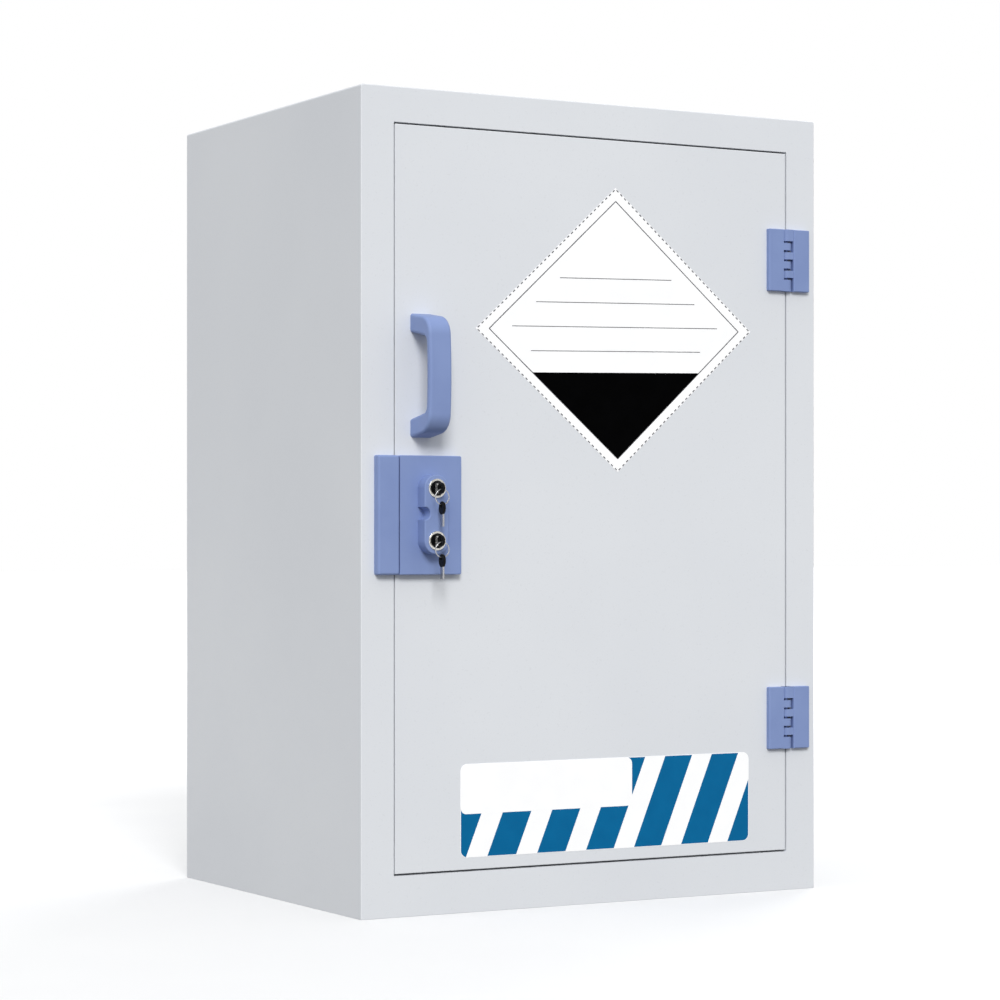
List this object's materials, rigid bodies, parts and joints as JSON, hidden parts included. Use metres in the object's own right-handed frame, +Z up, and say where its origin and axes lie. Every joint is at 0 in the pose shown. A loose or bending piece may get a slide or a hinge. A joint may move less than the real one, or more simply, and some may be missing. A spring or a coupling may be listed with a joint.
{
  "type": "reagent cabinet",
  "caption": "Upright laboratory cabinet of white plastic board: flush hinged door, bowed blue pull handle, keyed cam locks in a raised housing, lipped shelf tray and sump tray.",
  "frame": {"origin": "centre of the base's footprint, on the floor", "axes": "+X to the right seen from the front, +Y from the door to the back, +Z up"},
  "size_m": [0.59, 0.505, 0.89],
  "materials": {
    "white_board": "satin sheet",
    "blue_moulding": "satin",
    "chrome_lock": "polished",
    "dark_plug": "blackened",
    "plated_steel": "nickel plated",
    "stainless_steel": "machined",
    "black_key_head": "moulded"
  },
  "bodies": {
    "cabinet": {"front_frame": "white_board", "side_panel_left": "white_board", "side_panel_right": "white_board", "top_panel": "white_board", "base_panel": "white_board", "back_panel": "white_board", "jamb_left": "white_board", "jamb_right": "white_board", "jamb_top": "white_board", "jamb_bottom": "white_board", "shelf_ledges_left": "white_board", "shelf_ledges_right": "white_board", "shelf_tray": "white_board", "sump_tray": "white_board", "strike_housing": "blue_moulding", "strike_screws": "stainless_steel", "frame_hinge_screws": "stainless_steel", "upper_hinge_frame_leaf": "blue_moulding", "lower_hinge_frame_leaf": "blue_moulding", "upper_hinge_pin": "blue_moulding", "lower_hinge_pin": "blue_moulding"},
    "door": {"door_outer_panel": "white_board", "door_inner_panel": "white_board", "door_lock_strip": "white_board", "door_hinge_strip": "white_board", "door_top_strip": "white_board", "door_bottom_strip": "white_board", "door_ribs": "white_board", "upper_hinge_door_leaf": "blue_moulding", "lower_hinge_door_leaf": "blue_moulding", "door_hinge_screws": "stainless_steel", "pull_handle": "blue_moulding", "handle_screws": "stainless_steel", "lock_housing": "blue_moulding", "lock_housing_screws": "stainless_steel", "upper_lock_barrel": "chrome_lock", "lower_lock_barrel": "chrome_lock", "upper_ring_nut": "chrome_lock", "lower_ring_nut": "chrome_lock"},
    "upper_lock_core": {"upper_lock_plug": "dark_plug", "upper_cam": "plated_steel", "upper_cam_screw": "plated_steel", "upper_key_blade": "plated_steel", "upper_key_head": "black_key_head"},
    "upper_ring": {"upper_key_ring": "plated_steel"},
    "upper_spare_key": {"upper_spare_key_blade": "plated_steel", "upper_spare_key_head": "black_key_head"},
    "lower_lock_core": {"lower_lock_plug": "dark_plug", "lower_cam": "plated_steel", "lower_cam_screw": "plated_steel", "lower_key_blade": "plated_steel", "lower_key_head": "black_key_head"},
    "lower_ring": {"lower_key_ring": "plated_steel"},
    "lower_spare_key": {"lower_spare_key_blade": "plated_steel", "lower_spare_key_head": "black_key_head"}
  },
  "joints": [
    {"name": "door_swing", "type": "hinge", "parent": "cabinet", "child": "door", "pos_m": [0.255, -0.23, 0.0463], "axis": [0, 0, 1], "range_deg": [0, 95]},
    {"name": "upper_lock_turn", "type": "hinge", "parent": "door", "child": "upper_lock_core", "pos_m": [-0.2175, -0.23, 0.4595], "axis": [0, 1, 0], "range_deg": [0, 90]},
    {"name": "upper_ring_swing", "type": "hinge", "parent": "upper_lock_core", "child": "upper_ring", "pos_m": [-0.2175, -0.2683, 0.45825], "axis": [-1, 0, 0], "range_deg": [-6, 60]},
    {"name": "upper_spare_key_swing", "type": "hinge", "parent": "upper_ring", "child": "upper_spare_key", "pos_m": [-0.2175, -0.2683, 0.44185], "axis": [-1, 0, 0], "range_deg": [-10, 40]},
    {"name": "lower_lock_turn", "type": "hinge", "parent": "door", "child": "lower_lock_core", "pos_m": [-0.2175, -0.23, 0.40335], "axis": [0, -1, 0], "range_deg": [0, 90]},
    {"name": "lower_ring_swing", "type": "hinge", "parent": "lower_lock_core", "child": "lower_ring", "pos_m": [-0.2175, -0.2683, 0.4021], "axis": [-1, 0, 0], "range_deg": [-6, 60]},
    {"name": "lower_spare_key_swing", "type": "hinge", "parent": "lower_ring", "child": "lower_spare_key", "pos_m": [-0.2175, -0.2683, 0.3857], "axis": [-1, 0, 0], "range_deg": [-10, 40]}
  ]
}
